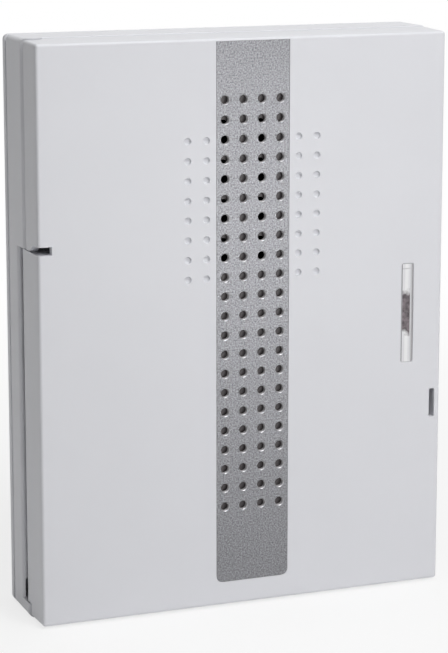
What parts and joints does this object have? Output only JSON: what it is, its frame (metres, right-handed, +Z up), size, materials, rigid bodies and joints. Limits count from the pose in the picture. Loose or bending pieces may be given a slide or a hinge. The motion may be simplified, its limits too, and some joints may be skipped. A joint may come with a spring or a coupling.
{
  "type": "doorbell chime box",
  "caption": "Slim white wall chime box with a hinged front cover, a perforated silver strip over the loudspeaker, a clear signal window and a release slot.",
  "frame": {"origin": "centre of the rear face, on the wall", "axes": "+Z up, +X to the right seen from the front, the front faces -Y and the wall is on the +Y side"},
  "size_m": [0.1334, 0.032, 0.1774],
  "materials": {
    "white_case": "fine satin moulding",
    "silver_strip": "grainy silver paint",
    "clear_guide": "clear polished plastic",
    "steel": "bright zinc",
    "board": "solder mask",
    "grey_block": "moulded",
    "black_mould": "moulded",
    "tin": "tin plated",
    "can_sleeve": "shrunk sleeve",
    "resistor": "lacquer",
    "red_lamp": "tinted resin",
    "blue_mould": "moulded",
    "white_knob": "moulded",
    "basket": "black zinc",
    "ferrite": "sintered",
    "copper": "wound wire",
    "cone_paper": "pressed pulp",
    "cap_cloth": "doped cloth",
    "surround_rubber": "moulded roll",
    "cell_jacket": "printed foil",
    "lead_sleeve": "soft sleeve"
  },
  "bodies": {
    "base": {"rear_base": "white_case", "circuit_board": "board", "board_screws": "steel", "terminal_block": "grey_block", "terminal_screws": "steel", "sound_chip": "black_mould", "chip_legs": "tin", "capacitors": "can_sleeve", "rectifier": "black_mould", "resistors": "resistor", "signal_lamp": "red_lamp", "volume_pot": "blue_mould", "tune_switch": "black_mould", "speaker_frame": "basket", "speaker_magnet": "ferrite", "pole_plate": "tin", "front_pole_plate": "tin", "cone_surround": "surround_rubber", "speaker_screws": "steel", "round_cells": "cell_jacket", "contact_plates": "tin", "speaker_leads": "lead_sleeve", "battery_leads": "lead_sleeve"},
    "cover": {"front_cover": "white_case", "grille_strip": "silver_strip", "light_guide": "clear_guide", "hinge_pins": "steel"},
    "latch": {"latch_lever": "white_case"},
    "knob": {"volume_knob": "white_knob"},
    "slider": {"tune_slider": "white_knob"},
    "cone": {"voice_coil": "copper", "speaker_cone": "cone_paper", "dust_cap": "cap_cloth"}
  },
  "joints": [
    {"name": "cover_hinge", "type": "hinge", "parent": "base", "child": "cover", "pos_m": [-0.0634, -0.0166, 0], "axis": [0, 0, -1], "range_deg": [0, 95]},
    {"name": "latch_press", "type": "hinge", "parent": "base", "child": "latch", "pos_m": [0.0613, -0.006, -0.0297], "axis": [0, 0, -1], "range_deg": [0, 5], "stiffness_Nm_per_rad": 0.6},
    {"name": "volume_turn", "type": "hinge", "parent": "base", "child": "knob", "pos_m": [0.0161, -0.0146, -0.009], "axis": [0, -1, 0], "range_deg": [-135, 135]},
    {"name": "tune_slide", "type": "slide", "parent": "base", "child": "slider", "axis": [1, 0, 0], "range_m": [-0.002, 0.002]},
    {"name": "cone_move", "type": "slide", "parent": "base", "child": "cone", "axis": [0, -1, 0], "range_m": [-0.0008, 0.0008], "stiffness_N_per_m": 1500}
  ]
}
